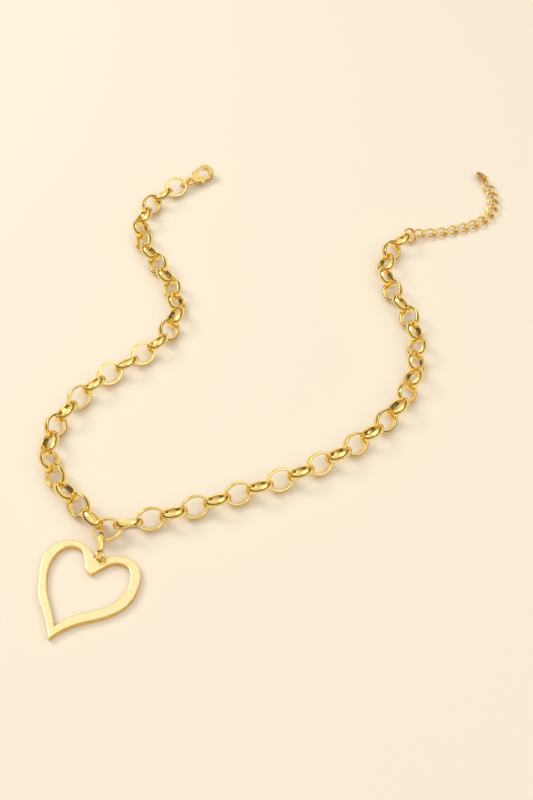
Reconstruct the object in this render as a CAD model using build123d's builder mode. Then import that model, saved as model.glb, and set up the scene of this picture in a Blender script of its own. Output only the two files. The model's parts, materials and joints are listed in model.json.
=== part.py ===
from build123d import *
import os
from math import atan2, cos, degrees, pi, radians, sin

# A pendant necklace laid out on a flat surface: a cable chain of oval band links, an openwork
# heart hung from its middle link, a lobster clasp on one end and a twisted extension chain with
# a plain tag on the other. Lengths are in millimetres and angles in degrees.

# Main chain link: an oval ring bent from flat band
LINK_LENGTH = 9.45
LINK_WIDTH = 7.7
LINK_END_RADIUS = 3.35
BAND_THICKNESS = 0.85
BAND_DEPTH = 2.1
BAND_EDGE_RADIUS = 0.3
LEFT_PITCH = 6.93
RIGHT_PITCH = 7.04
LINK_LEAN = 45
LINKS_PER_ARM = 27
SINGLE_LINKS_PER_ARM = 15

# Middle link and the bail that hangs from it
MIDDLE_CENTRE = (0, -0.8, 3.7)
MIDDLE_HEADING = (1, 0.2)
MIDDLE_TILT = -17
MIDDLE_LEFT_ANGLE = 118
MIDDLE_RIGHT_ANGLE = 22
SHOULDER_PLAY = 0.65
BAIL_CENTRE = (-1.5, -6.0, 3.9)
BAIL_DEPTH = 1.5
BAIL_THICKNESS = 0.8
BAIL_TILT = 80

# Heart, seen from above, with its point towards the wearer's waist
HEART_THICKNESS = 2.0
HEART_EDGE_RADIUS = 0.25
HEART_NOTCH = (-2.0, -10.7)
HEART_POINT = (-13.8, -36.0)
HEART_LEFT_OUTSIDE = [
    (-4.1, -7.6), (-7.4, -4.4), (-11.6, -3.3), (-16.0, -4.9), (-18.6, -9.2),
    (-18.9, -16.8), (-18.4, -22.4), (-16.2, -27.8), (-14.8, -32.0),
]
HEART_RIGHT_OUTSIDE = [
    (-10.2, -33.2), (-4.4, -30.8), (2.2, -28.9), (8.2, -24.8), (10.9, -18.6),
    (10.5, -13.0), (7.4, -9.8), (2.4, -9.0),
]
HEART_WINDOW_NOTCH = (-3.9, -15.1)
HEART_WINDOW_POINT = (-12.6, -32.2)
HEART_LEFT_INSIDE = [
    (-5.3, -13.2), (-6.1, -9.9), (-7.5, -6.8), (-11.0, -5.4), (-14.3, -7.3),
    (-16.5, -12.2), (-16.5, -18.6), (-14.9, -24.6), (-13.3, -29.2),
]
HEART_RIGHT_INSIDE = [
    (-9.6, -29.9), (-4.2, -27.7), (3.4, -25.0), (6.9, -21.2), (8.2, -15.9),
    (6.7, -12.5), (3.2, -11.3), (-0.6, -13.0),
]
EYE_RADIUS = 1.45
EYE_WIRE = 0.7
EYE_TILT = 45

# Round wire rings
RING_PLAY = 0.55
TAG_RING_PLAY = 0.2
CLASP_RING_DIAMETER = 5.0
CLASP_RING_WIRE = 0.8
CLASP_RING_HEIGHT = 2.7
CLASP_RING_LEAN = 62
EXTENSION_RING_DIAMETER = 6.2
EXTENSION_RING_WIRE = 0.9
EXTENSION_RING_HEIGHT = 2.45
EXTENSION_RING_LEAN = -45
TAG_RING_DIAMETER = 3.8
TAG_RING_WIRE = 0.6
TAG_RING_HEIGHT = 1.9
TAG_RING_LEAN = 65

# Extension link: an oval of round wire twisted a quarter turn from end to end
TWIST_LENGTH = 6.3
TWIST_WIDTH = 4.6
TWIST_WIRE = 0.8
TWIST_ANGLE = 45
TWIST_STEPS = 6
TWIST_PITCH = 4.42
TWIST_LINKS = 12
TWIST_HEIGHT = 1.13

# Size tag: a plain oval disc
TAG_LENGTH = 5.4
TAG_WIDTH = 4.4
TAG_THICKNESS = 0.9
TAG_HEIGHT = 1.45
TAG_LEAN = -25
TAG_HOLE_RADIUS = 0.75
TAG_HOLE_INSET = 1.25
TAG_EDGE_RADIUS = 0.3

# Lobster clasp, measured from the centre of its eye along its length
CLASP_HEADING = (0.80, 0.60)
CLASP_LEAN = -28
CLASP_HEIGHT = 2.85
CLASP_THICKNESS = 3.0
CLASP_EDGE_RADIUS = 0.6
CLASP_EYE_BOSS_RADIUS = 1.6
CLASP_EYE_THICKNESS = 1.7
CLASP_EYE_RADIUS = 0.8
CLASP_HOUSING_X = 2.7
CLASP_HOUSING_RADIUS = 2.1
CLASP_HOOK_X = 7.6
CLASP_HOOK_RADIUS = 3.2
CLASP_BEND_Y = 0.15
CLASP_BEND_RADIUS = 1.8
CLASP_THROAT_X = 4.9
CLASP_THROAT_Y = 0.45
CLASP_THROAT_RADIUS = 0.9
CLASP_GATE_START = 4.3
CLASP_GATE_END = 8.9
CLASP_GATE_TOP = -0.1
CLASP_SLOT_START = 2.1
CLASP_SLOT_TOP = -0.1
CLASP_SLOT_WIDTH = 1.9
TRIGGER_THICKNESS = 1.8
TRIGGER_PIVOT = (3.2, -1.35)
TRIGGER_HUB_RADIUS = 0.85
TRIGGER_TIP = (8.1, -2.2)
TRIGGER_TIP_RADIUS = 0.6
TRIGGER_TAB = (4.6, -2.5)
TRIGGER_TAB_RADIUS = 0.8
PIN_RADIUS = 0.35
PIN_LENGTH = 2.7
PIN_CLEARANCE = 0.05
SPRING_THICKNESS = 0.12
SPRING_WIDTH = 1.0
SPRING_POINTS = ((2.25, -0.24), (3.2, -0.3), (4.2, -0.5))

# Where the chain lies: points that each arm's line passes through, from the middle link outward
ARM_HEIGHT = 3.38
FIRST_LINK_LEAN = 60
LEFT_ARM = [
    (-9.4, 7.9), (-16.8, 16.6), (-21.4, 27.6), (-20.9, 37.6), (-15.4, 48.8),
    (-6.9, 59.2), (3.4, 67.6), (12.4, 77.0), (16.6, 89.0), (13.6, 103.6), (6.2, 117.6),
    (1.0, 130.6), (3.2, 144.6), (9.6, 153.4), (18.0, 160.0),
]
RIGHT_ARM = [
    (13.4, 3.2), (27.2, 7.8), (41.0, 12.9), (54.8, 18.4), (68.0, 25.2),
    (80.4, 34.0), (90.6, 44.6), (97.4, 57.2), (100.4, 71.0), (99.8, 84.6), (94.8, 97.6),
    (92.0, 109.4), (94.8, 120.6), (102.0, 128.8), (111.2, 132.2),
]
EXTENSION_LINE = [
    (116.6, 133.3), (125.4, 136.1), (133.2, 140.6), (136.9, 148.0),
    (136.6, 157.2), (133.6, 163.4), (128.0, 166.0), (121.0, 166.2),
]


def posture(centre, heading, lean, slope=0):
    """A plane at centre whose X runs along heading and whose normal leans from the vertical."""
    along = Vector(heading[0], heading[1], 0).normalized()
    left = Vector(0, 0, 1).cross(along)
    along = along * cos(radians(slope)) + Vector(0, 0, 1) * sin(radians(slope))
    up = along.cross(left)
    normal = up * cos(radians(lean)) + left * sin(radians(lean))
    return Plane(origin=centre, x_dir=along, z_dir=normal)


def oval(half_length, half_width, end_radius):
    """Four arcs that meet smoothly: two tight ends and two flatter sides."""
    end_centre = half_length - end_radius
    side_radius = (end_centre**2 + half_width**2 - end_radius**2) / (2 * (half_width - end_radius))
    side_centre = side_radius - half_width
    turn = degrees(atan2(side_centre, end_centre))
    CenterArc((end_centre, 0), end_radius, -turn, 2 * turn)
    CenterArc((0, -side_centre), side_radius, turn, 180 - 2 * turn)
    CenterArc((-end_centre, 0), end_radius, 180 - turn, 2 * turn)
    CenterArc((0, side_centre), side_radius, 180 + turn, 180 - 2 * turn)


def band_link(length, width, end_radius, thickness, depth):
    """An oval ring of flat band with rounded edges, centred on the origin."""
    with BuildPart() as link:
        with BuildSketch():
            with BuildLine():
                oval(length / 2, width / 2, end_radius)
            make_face()
            offset(amount=-thickness, mode=Mode.SUBTRACT)
        extrude(amount=depth / 2, both=True)
        fillet(link.edges().filter_by(Plane.XY), BAND_EDGE_RADIUS)
    return link.part


def wire_ring(diameter, wire):
    """A closed round ring of round wire in the XY plane."""
    with BuildPart() as ring:
        with BuildSketch(Plane.XZ):
            with Locations(((diameter - wire) / 2, 0)):
                Circle(wire / 2)
        revolve(axis=Axis.Z)
    return ring.part


def twist_point(angle):
    """A point on the wire's centre line of an extension link, angle in radians round the link."""
    twist = radians(TWIST_ANGLE) * cos(angle)
    reach = (TWIST_LENGTH - TWIST_WIRE) / 2
    side = (TWIST_WIDTH - TWIST_WIRE) / 2 * sin(angle)
    return Vector(reach * cos(angle), side * cos(twist), side * sin(twist))


def twisted_link():
    """Half of the link is swept, and the other half is that turned half a turn about its length."""
    lean_y, lean_z = cos(radians(TWIST_ANGLE)), sin(radians(TWIST_ANGLE))
    with BuildPart() as link:
        with BuildLine() as centre_line:
            points = [twist_point(pi * step / TWIST_STEPS) for step in range(TWIST_STEPS + 1)]
            Spline(*points, tangents=[(0, lean_y, lean_z), (0, -lean_y, lean_z)])
        with BuildSketch(Plane(origin=centre_line.line @ 0, z_dir=centre_line.line % 0)):
            Circle(TWIST_WIRE / 2)
        sweep(path=centre_line.line)
        add(link.part.rotate(Axis.X, 180))
    return link.part


def place(name, solid, planes):
    """A named piece: one or more separate copies of a solid where they lie."""
    with BuildPart() as piece:
        with Locations(*planes):
            add(solid)
    piece.part.label = name
    return piece.part


def contacts(line, count, spacing):
    """Evenly spaced points along a line, where one link bears on the next."""
    length_along = PositionMode.LENGTH
    return [line.position_at(step * spacing, position_mode=length_along) for step in range(count + 1)]


def between(start, end, lean):
    """The posture of a link that spans two contact points."""
    heading = end - start
    slope = degrees(atan2(heading.Z, (heading.X**2 + heading.Y**2) ** 0.5))
    return posture((start + end) / 2, (heading.X, heading.Y), lean, slope)


pieces = []

# Heart: a flat openwork plate with a sharp point and an uneven band
with BuildPart() as heart:
    with BuildSketch():
        with BuildLine():
            Spline(HEART_NOTCH, *HEART_LEFT_OUTSIDE, HEART_POINT)
            Spline(HEART_POINT, *HEART_RIGHT_OUTSIDE, HEART_NOTCH)
        make_face()
        with BuildLine():
            Spline(HEART_WINDOW_NOTCH, *HEART_LEFT_INSIDE, HEART_WINDOW_POINT)
            Spline(HEART_WINDOW_POINT, *HEART_RIGHT_INSIDE, HEART_WINDOW_NOTCH)
        make_face(mode=Mode.SUBTRACT)
    extrude(amount=HEART_THICKNESS)
    chamfer(heart.edges().group_by(Axis.Z)[-1], HEART_EDGE_RADIUS)
heart.part.label = "heart"
pieces.append(heart.part)

# Bail: a narrower band link standing on edge between the heart and the middle link
bail_solid = band_link(LINK_LENGTH, LINK_WIDTH, LINK_END_RADIUS, BAIL_THICKNESS, BAIL_DEPTH)
bail_plane = posture(BAIL_CENTRE, (0, 1), BAIL_TILT)
pieces.append(place("bail_link", bail_solid, [bail_plane]))

# Heart eye: a small ring set on edge in the notch, cut to the plate it is soldered to. It stands
# across the lower quarter of the bail's near end.
bail_end_radius = LINK_END_RADIUS - BAIL_THICKNESS / 2
eye_centre = bail_plane.from_local_coords((
    LINK_END_RADIUS - LINK_LENGTH / 2 - bail_end_radius * cos(radians(EYE_TILT)),
    bail_end_radius * sin(radians(EYE_TILT)),
    0,
))
eye_plane = posture(eye_centre, (0, 1), 0, EYE_TILT)
with BuildPart() as heart_eye:
    with Locations(eye_plane):
        add(wire_ring(2 * EYE_RADIUS + EYE_WIRE, EYE_WIRE))
    add(heart.part, mode=Mode.SUBTRACT)
heart_eye.part.label = "heart_eye"
pieces.append(heart_eye.part)

# Main chain
link_solid = band_link(LINK_LENGTH, LINK_WIDTH, LINK_END_RADIUS, BAND_THICKNESS, BAND_DEPTH)
middle_plane = posture(MIDDLE_CENTRE, MIDDLE_HEADING, MIDDLE_TILT)
pieces.append(place("middle_link", link_solid, [middle_plane]))


def shoulder(angle):
    """Where an arm's first link bears on the middle link's rounded end, angle round that end."""
    reach = LINK_END_RADIUS - BAND_THICKNESS - SHOULDER_PLAY
    end_centre = (LINK_LENGTH / 2 - LINK_END_RADIUS) * (1 if angle < 90 else -1)
    across, up_the_end = reach * cos(radians(angle)), reach * sin(radians(angle))
    return middle_plane.from_local_coords((end_centre + across, up_the_end, 0))


def arm_line(start, points):
    """The line of one arm, from the middle link outward at the height of a lying link."""
    return Spline(start, *[(x, y, ARM_HEIGHT) for x, y in points])


def arm_postures(line, pitch, first_side):
    """Postures of an arm's links, which lean to one side and the other in turn."""
    ends = contacts(line, LINKS_PER_ARM, pitch)
    leans = [first_side * LINK_LEAN * (-1) ** step for step in range(LINKS_PER_ARM)]
    leans[0] = first_side * FIRST_LINK_LEAN
    return [between(ends[step], ends[step + 1], leans[step]) for step in range(LINKS_PER_ARM)]


def arm_nodes(side, planes):
    """Single links near the pendant, and beyond them links in pairs."""
    nodes = []
    for step in range(SINGLE_LINKS_PER_ARM):
        nodes.append((f"{side}_link_{step + 1:02d}", planes[step:step + 1]))
    for step in range(SINGLE_LINKS_PER_ARM, LINKS_PER_ARM, 2):
        nodes.append((f"{side}_links_{step + 1:02d}_{step + 2:02d}", planes[step:step + 2]))
    return nodes


left_line = arm_line(shoulder(MIDDLE_LEFT_ANGLE), LEFT_ARM)
right_line = arm_line(shoulder(MIDDLE_RIGHT_ANGLE), RIGHT_ARM)
left_planes = arm_postures(left_line, LEFT_PITCH, -1)
right_planes = arm_postures(right_line, RIGHT_PITCH, 1)
left_nodes = arm_nodes("left", left_planes)
right_nodes = arm_nodes("right", right_planes)
for node_name, node_planes in left_nodes + right_nodes:
    pieces.append(place(node_name, link_solid, node_planes))

# Clasp ring and clasp, beyond the left arm's last contact
left_end = contacts(left_line, LINKS_PER_ARM, LEFT_PITCH)[-1]
left_heading = left_planes[-1].x_dir
clasp_ring_reach = CLASP_RING_DIAMETER / 2 - CLASP_RING_WIRE - RING_PLAY
clasp_ring_centre = left_end + left_heading * clasp_ring_reach
clasp_ring_centre.Z = CLASP_RING_HEIGHT
clasp_ring_plane = posture(clasp_ring_centre, (left_heading.X, left_heading.Y), CLASP_RING_LEAN)
clasp_ring_solid = wire_ring(CLASP_RING_DIAMETER, CLASP_RING_WIRE)
pieces.append(place("clasp_ring", clasp_ring_solid, [clasp_ring_plane]))

clasp_eye = clasp_ring_centre + left_heading * (CLASP_RING_DIAMETER - CLASP_RING_WIRE) / 2
clasp_eye.Z = CLASP_HEIGHT
clasp_plane = posture(clasp_eye, CLASP_HEADING, CLASP_LEAN)

# Clasp body: an eye, a slotted housing for the trigger, and the hook
with BuildPart() as clasp_blank:
    with BuildSketch():
        with Locations((CLASP_HOUSING_X, 0)):
            Circle(CLASP_HOUSING_RADIUS)
        with Locations((CLASP_HOOK_X, 0)):
            Circle(CLASP_HOOK_RADIUS)
        make_hull()
    extrude(amount=CLASP_THICKNESS / 2, both=True)
    fillet(clasp_blank.edges().filter_by(Plane.XY), CLASP_EDGE_RADIUS)
    with BuildSketch():
        Circle(CLASP_EYE_BOSS_RADIUS)
    extrude(amount=CLASP_EYE_THICKNESS / 2, both=True)
    with BuildSketch():
        Circle(CLASP_EYE_RADIUS)
    extrude(amount=CLASP_THICKNESS, both=True, mode=Mode.SUBTRACT)
    with BuildSketch():
        with Locations((CLASP_HOOK_X, CLASP_BEND_Y)):
            Circle(CLASP_BEND_RADIUS)
        with Locations((CLASP_THROAT_X, CLASP_THROAT_Y)):
            Circle(CLASP_THROAT_RADIUS)
        make_hull()
    extrude(amount=CLASP_THICKNESS, both=True, mode=Mode.SUBTRACT)
    with BuildSketch():
        with Locations((CLASP_GATE_START, CLASP_GATE_TOP)):
            Rectangle(
                CLASP_GATE_END - CLASP_GATE_START, CLASP_HOOK_RADIUS, align=(Align.MIN, Align.MAX)
            )
    extrude(amount=CLASP_THICKNESS, both=True, mode=Mode.SUBTRACT)
    with BuildSketch():
        with Locations((CLASP_SLOT_START, CLASP_SLOT_TOP)):
            Rectangle(
                CLASP_GATE_END - CLASP_SLOT_START, CLASP_HOOK_RADIUS, align=(Align.MIN, Align.MAX)
            )
    extrude(amount=CLASP_SLOT_WIDTH / 2, both=True, mode=Mode.SUBTRACT)
    with BuildSketch():
        with Locations(TRIGGER_PIVOT):
            Circle(PIN_RADIUS)
    extrude(amount=CLASP_THICKNESS, both=True, mode=Mode.SUBTRACT)
pieces.append(place("clasp_body", clasp_blank.part, [clasp_plane]))

# Trigger: a gate bar that closes the hook, a hub on the pin and a thumb tab
with BuildPart() as trigger_blank:
    with BuildSketch():
        with Locations(TRIGGER_PIVOT):
            Circle(TRIGGER_HUB_RADIUS)
        with Locations(TRIGGER_TIP):
            Circle(TRIGGER_TIP_RADIUS)
        make_hull()
        with Locations(TRIGGER_TAB):
            Circle(TRIGGER_TAB_RADIUS)
        with Locations(TRIGGER_PIVOT):
            Circle(PIN_RADIUS + PIN_CLEARANCE, mode=Mode.SUBTRACT)
    extrude(amount=TRIGGER_THICKNESS / 2, both=True)
pieces.append(place("clasp_trigger", trigger_blank.part, [clasp_plane]))

# Pin, fixed across the housing
with BuildPart() as pin_blank:
    with BuildSketch():
        with Locations(TRIGGER_PIVOT):
            Circle(PIN_RADIUS)
    extrude(amount=PIN_LENGTH / 2, both=True)
pieces.append(place("clasp_pin", pin_blank.part, [clasp_plane]))

# Return spring: a curved leaf over the trigger's hub, inside the housing
with BuildPart() as spring_blank:
    with BuildSketch():
        with BuildLine():
            ThreePointArc(*SPRING_POINTS)
        trace(line_width=SPRING_THICKNESS)
    extrude(amount=SPRING_WIDTH / 2, both=True)
pieces.append(place("clasp_spring", spring_blank.part, [clasp_plane]))

# Extension: a round ring, twisted links in pairs, a small ring and the tag
right_end = contacts(right_line, LINKS_PER_ARM, RIGHT_PITCH)[-1]
right_heading = right_planes[-1].x_dir
extension_ring_reach = EXTENSION_RING_DIAMETER / 2 - EXTENSION_RING_WIRE - RING_PLAY
extension_ring_centre = right_end + right_heading * extension_ring_reach
extension_ring_centre.Z = EXTENSION_RING_HEIGHT
extension_ring_plane = posture(
    extension_ring_centre, (right_heading.X, right_heading.Y), EXTENSION_RING_LEAN
)
extension_ring_solid = wire_ring(EXTENSION_RING_DIAMETER, EXTENSION_RING_WIRE)
pieces.append(place("extension_ring", extension_ring_solid, [extension_ring_plane]))

extension_start = extension_ring_centre + extension_ring_plane.x_dir * extension_ring_reach
extension_line = Spline(
    (extension_start.X, extension_start.Y, extension_start.Z),
    *[(x, y, TWIST_HEIGHT) for x, y in EXTENSION_LINE],
)
extension_ends = contacts(extension_line, TWIST_LINKS, TWIST_PITCH)
extension_planes = [
    between(extension_ends[step], extension_ends[step + 1], 0) for step in range(TWIST_LINKS)
]
extension_solid = twisted_link()
for step in range(0, TWIST_LINKS, 2):
    node_planes = extension_planes[step:step + 2]
    pieces.append(place(f"extension_{step + 1:02d}_{step + 2:02d}", extension_solid, node_planes))

extension_end = extension_ends[-1]
extension_heading = extension_planes[-1].x_dir
tag_ring_reach = TAG_RING_DIAMETER / 2 - TAG_RING_WIRE - TAG_RING_PLAY
tag_ring_centre = extension_end + extension_heading * tag_ring_reach
tag_ring_centre.Z = TAG_RING_HEIGHT
tag_ring_plane = posture(tag_ring_centre, (extension_heading.X, extension_heading.Y), TAG_RING_LEAN)
pieces.append(place("tag_ring", wire_ring(TAG_RING_DIAMETER, TAG_RING_WIRE), [tag_ring_plane]))

tag_hole = tag_ring_centre + tag_ring_plane.x_dir * (TAG_RING_DIAMETER - TAG_RING_WIRE) / 2
tag_hole.Z = TAG_HEIGHT
tag_plane = posture(tag_hole, (extension_heading.X, extension_heading.Y), TAG_LEAN)
with BuildPart() as tag_blank:
    with BuildSketch():
        with Locations((TAG_LENGTH / 2 - TAG_HOLE_INSET, 0)):
            Ellipse(TAG_LENGTH / 2, TAG_WIDTH / 2)
    extrude(amount=TAG_THICKNESS / 2, both=True)
    fillet(tag_blank.edges().filter_by(Plane.XY), TAG_EDGE_RADIUS)
    with BuildSketch():
        Circle(TAG_HOLE_RADIUS)
    extrude(amount=TAG_THICKNESS, both=True, mode=Mode.SUBTRACT)
pieces.append(place("size_tag", tag_blank.part, [tag_plane]))

# The origin is at the middle of the whole necklace's box, on the surface that it lies on
whole = Compound(pieces).bounding_box()
origin = Vector((whole.min.X + whole.max.X) / 2, (whole.min.Y + whole.max.Y) / 2, whole.min.Z)
os.makedirs("parts", exist_ok=True)
for piece in pieces:
    settled = piece.moved(Location(-origin))
    settled.label = piece.label
    export_step(settled, f"parts/{piece.label}.step")
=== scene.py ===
import json
from math import atan2, cos, pi, radians, sin

import bmesh
import bpy
import numpy as np
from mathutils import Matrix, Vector


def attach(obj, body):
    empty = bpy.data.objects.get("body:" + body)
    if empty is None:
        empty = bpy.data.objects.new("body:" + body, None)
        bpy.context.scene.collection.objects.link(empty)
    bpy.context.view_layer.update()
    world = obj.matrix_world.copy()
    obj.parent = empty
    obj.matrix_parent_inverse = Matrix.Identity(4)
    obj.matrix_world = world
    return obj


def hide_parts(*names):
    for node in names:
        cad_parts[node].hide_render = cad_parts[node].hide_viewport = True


MM = 0.001

# Sizes of the pieces, the same as the CAD's (mm)
LINK_LENGTH, LINK_WIDTH, LINK_END_RADIUS = 9.45, 7.7, 3.35
BAND_THICKNESS, BAND_DEPTH = 0.85, 2.1
BAIL_THICKNESS, BAIL_DEPTH = 0.8, 1.5
TWIST_LENGTH, TWIST_WIDTH, TWIST_WIRE, TWIST_ANGLE = 6.3, 4.6, 0.8, 45
RINGS = {"clasp_ring": (5.0, 0.8), "extension_ring": (6.2, 0.9), "tag_ring": (3.8, 0.6)}

# Camera: a 50 mm lens on a 36 mm tall frame, looking down at the chain from the heart's side
CAMERA_AT = (-8.82, -245.27, 291.76)
CAMERA_ELEVATION = 51.57
CAMERA_LENS = 49.84

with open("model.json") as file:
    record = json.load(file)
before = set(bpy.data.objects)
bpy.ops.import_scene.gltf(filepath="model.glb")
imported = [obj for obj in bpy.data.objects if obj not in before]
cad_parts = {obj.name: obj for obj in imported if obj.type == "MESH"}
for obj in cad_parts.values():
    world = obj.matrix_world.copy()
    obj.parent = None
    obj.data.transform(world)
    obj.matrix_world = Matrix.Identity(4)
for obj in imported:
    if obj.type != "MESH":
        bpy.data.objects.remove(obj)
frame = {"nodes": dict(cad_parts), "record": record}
NODES = frame["nodes"]
BODIES = frame["record"]["behaviour"]["bodies"]
BODY_OF = {node: body for body, nodes in BODIES.items() for node in nodes}


# ---------------------------------------------------------------- materials

def node_at(tree, kind, **inputs):
    node = tree.nodes.new(kind)
    for name, value in inputs.items():
        node.inputs[name.replace("_", " ")].default_value = value
    return node


def ramp_between(tree, factor, stops):
    ramp = tree.nodes.new("ShaderNodeValToRGB")
    elements = ramp.color_ramp.elements
    while len(elements) < len(stops):
        elements.new(0.5)
    for element, (place, colour) in zip(elements, stops):
        element.position = place
        element.color = (*colour, 1)
    tree.links.new(factor, ramp.inputs["Fac"])
    return ramp.outputs["Color"]


def to_range(tree, value, low, high, start=0.3, end=0.7):
    node = node_at(tree, "ShaderNodeMapRange", From_Min=start, From_Max=end, To_Min=low, To_Max=high)
    tree.links.new(value, node.inputs["Value"])
    return node.outputs["Result"]


def gold(name, pale, deep, smooth=0.07, worn=0.2, scratch=0.6, cloud=260):
    """Polished gold plate: cloudy tone, handling haze, hair scratches and brighter rubbed edges."""
    material = bpy.data.materials.new(name)
    material.use_nodes = True
    tree = material.node_tree
    shader = tree.nodes["Principled BSDF"]
    shader.inputs["Metallic"].default_value = 1.0
    place = tree.nodes.new("ShaderNodeTexCoord").outputs["Object"]

    clouds = node_at(tree, "ShaderNodeTexNoise", Scale=cloud, Detail=4, Roughness=0.6)
    tree.links.new(place, clouds.inputs["Vector"])
    tone = ramp_between(tree, clouds.outputs["Fac"], [(0.3, deep), (0.66, pale)])
    edges = tree.nodes.new("ShaderNodeNewGeometry").outputs["Pointiness"]
    rubbed = to_range(tree, edges, 0.0, 0.55, 0.52, 0.6)
    blend = tree.nodes.new("ShaderNodeMix")
    blend.data_type = "RGBA"
    blend.inputs["B"].default_value = (*[min(1.0, c * 1.06 + 0.02) for c in pale], 1)
    tree.links.new(rubbed, blend.inputs["Factor"])
    tree.links.new(tone, blend.inputs["A"])
    tree.links.new(blend.outputs["Result"], shader.inputs["Base Color"])

    haze = node_at(tree, "ShaderNodeTexNoise", Scale=cloud * 2.6, Detail=5, Roughness=0.65)
    tree.links.new(place, haze.inputs["Vector"])
    tree.links.new(to_range(tree, haze.outputs["Fac"], smooth, worn), shader.inputs["Roughness"])

    stretch = tree.nodes.new("ShaderNodeMapping")
    stretch.inputs["Rotation"].default_value = (0.3, 0.2, 0.6)
    stretch.inputs["Scale"].default_value = (1.0, 22.0, 6.0)
    tree.links.new(place, stretch.inputs["Vector"])
    hairs = node_at(tree, "ShaderNodeTexNoise", Scale=420, Detail=3, Roughness=0.55)
    tree.links.new(stretch.outputs["Vector"], hairs.inputs["Vector"])
    dents = node_at(tree, "ShaderNodeTexNoise", Scale=620, Detail=2, Roughness=0.5)
    tree.links.new(place, dents.inputs["Vector"])
    fine = node_at(tree, "ShaderNodeBump", Strength=scratch * 0.25, Distance=0.00002)
    tree.links.new(hairs.outputs["Fac"], fine.inputs["Height"])
    broad = node_at(tree, "ShaderNodeBump", Strength=scratch, Distance=0.00006)
    tree.links.new(dents.outputs["Fac"], broad.inputs["Height"])
    tree.links.new(fine.outputs["Normal"], broad.inputs["Normal"])
    tree.links.new(broad.outputs["Normal"], shader.inputs["Normal"])
    return material


GOLD = {
    # The heart gets lit and shaded copies of one gold. The paler copy is painted highlight on the top
    # and also colours the eye. The darker amber copy is painted shade on the walls.
    "heart_gold": gold("heart_gold", (1.0, 0.90, 0.52), (1.0, 0.86, 0.44), 0.12, 0.2, 0.1),
    "heart_shaded_wall_gold": gold("heart_shaded_wall_gold", (0.95, 0.68, 0.25), (0.82, 0.52, 0.15), 0.14, 0.28, 0.25),
    "chain_gold": gold("chain_gold", (1.0, 0.79, 0.32), (0.92, 0.66, 0.20), 0.05, 0.14, 0.3),
    "wire_gold": gold("wire_gold", (0.97, 0.75, 0.30), (0.86, 0.60, 0.18), 0.07, 0.18, 0.3),
    "clasp_gold": gold("clasp_gold", (0.94, 0.71, 0.28), (0.80, 0.55, 0.16), 0.07, 0.2, 0.3),
    "spring_gold": gold("spring_gold", (0.76, 0.55, 0.22), (0.56, 0.38, 0.12), 0.2, 0.4, 0.4),
    "tag_gold": gold("tag_gold", (0.74, 0.52, 0.18), (0.50, 0.32, 0.09), 0.12, 0.3, 0.7),
}


# ---------------------------------------------------------------- mesh helpers

def welded(node):
    """Vertices and triangles of a CAD node with doubled vertices joined."""
    mesh = NODES[node].data
    points = np.empty(len(mesh.vertices) * 3)
    mesh.vertices.foreach_get("co", points)
    points = points.reshape(-1, 3)
    keys, first, joined = np.unique(
        np.round(points / 1e-7).astype(np.int64), axis=0, return_index=True, return_inverse=True
    )
    joined = joined.reshape(-1)
    mesh.calc_loop_triangles()
    corners = np.array([tuple(t.vertices) for t in mesh.loop_triangles])
    triangles = joined[corners]
    proper = (
        (triangles[:, 0] != triangles[:, 1])
        & (triangles[:, 1] != triangles[:, 2])
        & (triangles[:, 0] != triangles[:, 2])
    )
    return points[first], triangles[proper]


def shells(points, triangles):
    """The node's separate solids, each as its own triangles."""
    owner = np.arange(len(points))
    while True:
        lowest = owner[triangles].min(axis=1)
        before = owner.copy()
        for corner in range(3):
            np.minimum.at(owner, triangles[:, corner], lowest)
        owner = owner[owner]
        if (owner == before).all():
            break
    return [triangles[owner[triangles[:, 0]] == root] for root in np.unique(owner[triangles[:, 0]])]


def own_axes(points, triangles):
    """Centre of a solid's surface, and its long, cross and short directions."""
    a, b, c = (points[triangles[:, corner]] for corner in range(3))
    area = np.linalg.norm(np.cross(b - a, c - a), axis=1)
    middle = (a + b + c) / 3
    centre = (middle * area[:, None]).sum(axis=0) / area.sum()
    spread = np.zeros((3, 3))
    for corner in (a, b, c):
        spread += np.einsum("n,ni,nj->ij", area, corner - centre, corner - centre)
    spread += 9 * np.einsum("n,ni,nj->ij", area, middle - centre, middle - centre)
    turn = np.linalg.eigh(spread)[1][:, ::-1].T
    if np.linalg.det(turn) < 0:
        turn[2] = -turn[2]
    return centre, turn


def placed(shape, centre, turn):
    return shape @ turn + centre


def show(name, parts, material, node, sharp=35):
    """One object from (vertices, faces) parts, standing for a CAD node and riding with its body."""
    vertices, faces = [], []
    for points, polygons in parts:
        start = len(vertices)
        vertices += [tuple(p) for p in points]
        faces += [tuple(start + index for index in polygon) for polygon in polygons]
    mesh = bpy.data.meshes.new(name)
    mesh.from_pydata(vertices, [], faces)
    mesh.validate()
    mesh.shade_smooth()
    mesh.set_sharp_from_angle(angle=radians(sharp))
    mesh.materials.append(material)
    piece = bpy.data.objects.new(name, mesh)
    bpy.context.scene.collection.objects.link(piece)
    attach(piece, BODY_OF[node])
    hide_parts(node)
    return piece


def loop_faces(rings, around):
    """Quads joining rings of points, closed both along and around."""
    faces = []
    for ring in range(rings):
        following = (ring + 1) % rings
        for step in range(around):
            near, far = step, (step + 1) % around
            faces.append((
                ring * around + near, ring * around + far,
                following * around + far, following * around + near,
            ))
    return faces


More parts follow.
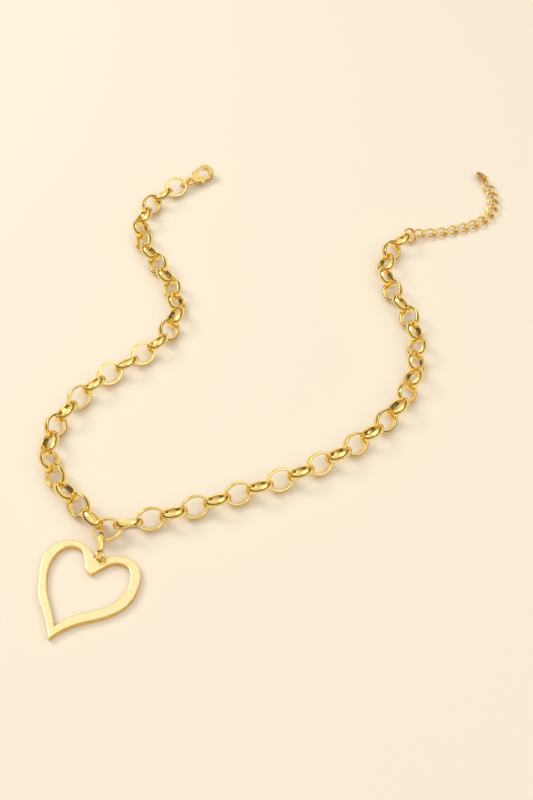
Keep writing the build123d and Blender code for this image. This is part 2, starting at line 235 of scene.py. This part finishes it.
def oval_outline(length, width, end_radius, end_steps=26, side_steps=22):
    """Points and outward normals round an oval of two tight ends and two flatter sides."""
    end_centre = length / 2 - end_radius
    half = width / 2
    side_radius = (end_centre**2 + half**2 - end_radius**2) / (2 * (half - end_radius))
    side_centre = side_radius - half
    turn = atan2(side_centre, end_centre)
    arcs = [
        (end_centre, 0, end_radius, -turn, turn, end_steps),
        (0, -side_centre, side_radius, turn, pi - turn, side_steps),
        (-end_centre, 0, end_radius, pi - turn, pi + turn, end_steps),
        (0, side_centre, side_radius, pi + turn, 2 * pi - turn, side_steps),
    ]
    points, normals = [], []
    for x, y, radius, start, end, steps in arcs:
        for step in range(steps):
            angle = start + (end - start) * step / steps
            normals.append((cos(angle), sin(angle)))
            points.append((x + radius * cos(angle), y + radius * sin(angle)))
    return np.array(points), np.array(normals)


def band_profile(thickness, depth, dome, rim):
    """Section of the band: distance in from the outside against height, domed outside."""
    half = depth / 2
    section = []
    for step in range(9):
        height = -half + rim + (2 * half - 2 * rim) * step / 8
        section.append((dome * (height / (half - rim)) ** 2, height))
    for step in range(1, 7):
        angle = pi / 2 * step / 6
        section.append((dome + rim - rim * cos(angle), half - rim + rim * sin(angle)))
    for step in range(0, 6):
        angle = pi / 2 * step / 5
        section.append((thickness - rim + rim * sin(angle), half - rim + rim * cos(angle)))
    for step in range(1, 5):
        height = (half - rim) * (1 - 2 * step / 5)
        section.append((thickness - 0.03 * (1 - (height / (half - rim)) ** 2), height))
    for step in range(0, 6):
        angle = pi / 2 * step / 5
        section.append((thickness - rim + rim * cos(angle), -half + rim - rim * sin(angle)))
    for step in range(0, 6):
        angle = pi / 2 * step / 6
        section.append((dome + rim - rim * sin(angle), -half + rim - rim * cos(angle)))
    return section


def band_link(length, width, end_radius, thickness, depth, dome, rim):
    outline, normals = oval_outline(length, width, end_radius)
    section = band_profile(thickness, depth, dome, rim)
    points = []
    for at, out in zip(outline, normals):
        for inset, height in section:
            points.append((at[0] - out[0] * inset, at[1] - out[1] * inset, height))
    return np.array(points) * MM, loop_faces(len(outline), len(section))


def wire_ring(diameter, wire, rings=72, around=20):
    points = []
    for step in range(rings):
        turn = 2 * pi * step / rings
        for side in range(around):
            angle = 2 * pi * side / around
            reach = (diameter - wire) / 2 + wire / 2 * cos(angle)
            points.append((reach * cos(turn), reach * sin(turn), wire / 2 * sin(angle)))
    return np.array(points) * MM, loop_faces(rings, around)


def twisted_link(rings=72, around=18):
    reach, side = (TWIST_LENGTH - TWIST_WIRE) / 2, (TWIST_WIDTH - TWIST_WIRE) / 2

    def centre(angle):
        twist = radians(TWIST_ANGLE) * cos(angle)
        return np.array((
            reach * cos(angle), side * sin(angle) * cos(twist), side * sin(angle) * sin(twist),
        ))

    points = []
    for step in range(rings):
        angle = 2 * pi * step / rings
        twist = radians(TWIST_ANGLE) * cos(angle)
        along = centre(angle + 0.01) - centre(angle - 0.01)
        along /= np.linalg.norm(along)
        up = np.array((0, -sin(twist), cos(twist)))
        up -= along * up.dot(along)
        up /= np.linalg.norm(up)
        across = np.cross(along, up)
        for turn in range(around):
            spin = 2 * pi * turn / around
            points.append(centre(angle) + TWIST_WIRE / 2 * (across * cos(spin) + up * sin(spin)))
    return np.array(points) * MM, loop_faces(rings, around)


# ---------------------------------------------------------------- chain, rings and twisted links

def stand_in(node, shape, material):
    """The finer mesh in the place of each of a node's solids."""
    points, triangles = welded(node)
    vertices, faces = shape
    parts = [
        (placed(vertices, *own_axes(points, shell)), faces) for shell in shells(points, triangles)
    ]
    return show(f"{node}_look", parts, material, node)


main_shape = band_link(LINK_LENGTH, LINK_WIDTH, LINK_END_RADIUS, BAND_THICKNESS, BAND_DEPTH, 0.16, 0.2)
bail_shape = band_link(LINK_LENGTH, LINK_WIDTH, LINK_END_RADIUS, BAIL_THICKNESS, BAIL_DEPTH, 0.12, 0.18)
twist_shape = twisted_link()
for node in NODES:
    if node.startswith(("left_", "right_")) or node == "middle_link":
        stand_in(node, main_shape, GOLD["chain_gold"])
    elif node == "bail_link":
        stand_in(node, bail_shape, GOLD["chain_gold"])
    elif node in RINGS:
        stand_in(node, wire_ring(*RINGS[node]), GOLD["wire_gold"])
    elif node.startswith("extension_"):
        stand_in(node, twist_shape, GOLD["wire_gold"])


# ---------------------------------------------------------------- clasp, eye and tag

def softened(node, material, width, segments=3):
    """A CAD node's own shape with its flat faces merged and its edges rounded over."""
    points, triangles = welded(node)
    piece = show(f"{node}_look", [(points, triangles.tolist())], material, node)
    tidy = bmesh.new()
    tidy.from_mesh(piece.data)
    bmesh.ops.dissolve_limit(
        tidy, angle_limit=radians(1), verts=tidy.verts, edges=tidy.edges, delimit={"NORMAL"}
    )
    tidy.to_mesh(piece.data)
    tidy.free()
    edge = piece.modifiers.new("edge", "BEVEL")
    edge.width = width * MM
    edge.segments = segments
    edge.limit_method = "ANGLE"
    edge.angle_limit = radians(40)
    edge.use_clamp_overlap = True
    edge.harden_normals = True
    return piece


softened("clasp_body", GOLD["clasp_gold"], 0.12)
softened("clasp_trigger", GOLD["clasp_gold"], 0.15)
softened("clasp_pin", GOLD["spring_gold"], 0.08)
softened("clasp_spring", GOLD["spring_gold"], 0.02, 2)
softened("heart_eye", GOLD["heart_gold"], 0.03, 2)
softened("size_tag", GOLD["tag_gold"], 0.1)

# ---------------------------------------------------------------- heart

def outlines(points, triangles):
    """The outline loops of a flat plate's underside, with the material on the left of each."""
    floor = points[:, 2].min() + 1e-6
    under = triangles[(points[triangles][:, :, 2] < floor).all(axis=1)]
    a, b, c = (points[under[:, corner]] for corner in range(3))
    facing = (b[:, 0] - a[:, 0]) * (c[:, 1] - a[:, 1]) - (b[:, 1] - a[:, 1]) * (c[:, 0] - a[:, 0])
    upright = np.where((facing > 0)[:, None], under, under[:, ::-1])
    edges = {(t[k], t[(k + 1) % 3]) for t in upright.tolist() for k in range(3)}
    following = {start: end for start, end in edges if (end, start) not in edges}
    loops = []
    while following:
        start, at = following.popitem()
        loop = [start]
        while at != start:
            loop.append(at)
            at = following.pop(at)
        loops.append(points[loop][:, :2])
    return loops


def inset_loop(loop, distance):
    """The loop moved into the material by a distance."""
    ahead = np.roll(loop, -1, axis=0) - loop
    ahead /= np.linalg.norm(ahead, axis=1)[:, None]
    left = np.stack([-ahead[:, 1], ahead[:, 0]], axis=1)
    before = np.roll(left, 1, axis=0)
    together = np.clip(1 + (left * before).sum(axis=1), 0.35, 2)
    return loop + distance * (left + before) / together[:, None]


def heart_piece(node, thickness, rim, foot):
    """The flat plate with a softly rounded upper rim and a small rounding below."""
    points, triangles = welded(node)
    base = points[:, 2].min()
    section = [(foot * (1 - sin(a)), foot * (1 - cos(a))) for a in (0, pi / 6, pi / 3, pi / 2)]
    section += [(0, thickness * 0.35), (0, thickness * 0.65)]
    section += [
        (rim * (1 - cos(pi / 2 * step / 7)), thickness - rim + rim * sin(pi / 2 * step / 7))
        for step in range(8)
    ]
    plate = bmesh.new()
    rims = {0: [], len(section) - 1: []}
    for loop in outlines(points, triangles):
        rings = []
        for inset, height in section:
            ring = inset_loop(loop, inset * MM)
            rings.append([plate.verts.new((x, y, base + height * MM)) for x, y in ring])
        for low, high in zip(rings, rings[1:]):
            for step in range(len(loop)):
                nearer = (step + 1) % len(loop)
                plate.faces.new((low[step], low[nearer], high[nearer], high[step]))
        for level in rims:
            ring = rings[level]
            rims[level] += [
                plate.edges.get((ring[step], ring[(step + 1) % len(ring)]))
                for step in range(len(ring))
            ]
    for level, edges in rims.items():
        up = (0, 0, -1 if level == 0 else 1)
        bmesh.ops.triangle_fill(plate, use_beauty=True, use_dissolve=True, edges=edges, normal=up)
    bmesh.ops.recalc_face_normals(plate, faces=plate.faces)
    mesh = bpy.data.meshes.new(f"{node}_look")
    plate.to_mesh(mesh)
    plate.free()
    mesh.shade_smooth()
    mesh.set_sharp_from_angle(angle=radians(40))
    mesh.materials.append(GOLD["heart_gold"])
    mesh.materials.append(GOLD["heart_shaded_wall_gold"])
    # Painted shade: faces turned sideways or down take the darker wall copy, and faces turned up take
    # the paler top copy
    for face in mesh.polygons:
        face.material_index = int(face.normal.z < 0.5)
    piece = bpy.data.objects.new(f"{node}_look", mesh)
    bpy.context.scene.collection.objects.link(piece)
    weighted = piece.modifiers.new("flat_top", "WEIGHTED_NORMAL")
    weighted.keep_sharp = True
    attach(piece, BODY_OF[node])
    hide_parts(node)


heart_piece("heart", 2.0, 0.28, 0.08)



# ---------------------------------------------------------------- floor, light and camera

def floor_material():
    material = bpy.data.materials.new("floor")
    material.use_nodes = True
    tree = material.node_tree
    shader = tree.nodes["Principled BSDF"]
    shader.inputs["Roughness"].default_value = 0.9
    shader.inputs["Specular IOR Level"].default_value = 0.15
    shader.inputs["Base Color"].default_value = (0.93, 0.845, 0.72, 1)
    return material


def flat(name, corners, material):
    mesh = bpy.data.meshes.new(name)
    mesh.from_pydata(corners, [], [(0, 1, 2, 3)])
    mesh.materials.append(material)
    sheet = bpy.data.objects.new(name, mesh)
    bpy.context.scene.collection.objects.link(sheet)
    return sheet


flat("floor", [(-3, -3, 0), (3, -3, 0), (3, 3, 0), (-3, 3, 0)], floor_material())


def soft_light(name, at, aim, size, power, colour):
    lamp = bpy.data.lights.new(name, "AREA")
    lamp.shape = "RECTANGLE"
    lamp.size, lamp.size_y = size
    lamp.energy = power
    lamp.color = colour
    holder = bpy.data.objects.new(name, lamp)
    holder.location = at
    holder.rotation_euler = (Vector(aim) - Vector(at)).to_track_quat("-Z", "Y").to_euler()
    bpy.context.scene.collection.objects.link(holder)


soft_light("key", (-0.62, 0.34, 0.70), (0, 0, 0), (0.42, 0.42), 3.2, (1.0, 0.98, 0.94))
soft_light("fill", (0.45, -0.30, 0.50), (0, 0, 0), (0.5, 0.4), 0.6, (1.0, 0.97, 0.93))

world = bpy.data.worlds.new("room")
bpy.context.scene.world = world
world.use_nodes = True
sky = world.node_tree
background = sky.nodes["Background"]
background.inputs["Strength"].default_value = 0.78
direction = sky.nodes.new("ShaderNodeTexCoord").outputs["Generated"]
parts = sky.nodes.new("ShaderNodeSeparateXYZ")
sky.links.new(direction, parts.inputs["Vector"])
room = ramp_between(sky, to_range(sky, parts.outputs["Z"], 0, 1, -1, 1), [
    (0.0, (0.80, 0.70, 0.56)), (0.58, (0.90, 0.83, 0.72)), (0.62, (0.11, 0.08, 0.05)),
    (0.70, (0.26, 0.20, 0.14)), (0.80, (1.12, 1.08, 1.0)), (1.0, (1.32, 1.28, 1.18)),
])
sky.links.new(room, background.inputs["Color"])

camera = bpy.data.cameras.new("camera")
camera.sensor_fit = "AUTO"
camera.sensor_width = 36
camera.lens = CAMERA_LENS
camera.clip_start = 0.01
eye = bpy.data.objects.new("camera", camera)
eye.location = [value * MM for value in CAMERA_AT]
eye.rotation_euler = (radians(90 - CAMERA_ELEVATION), 0, 0)
bpy.context.scene.collection.objects.link(eye)
bpy.context.scene.camera = eye
bpy.context.scene.view_settings.view_transform = "Standard"
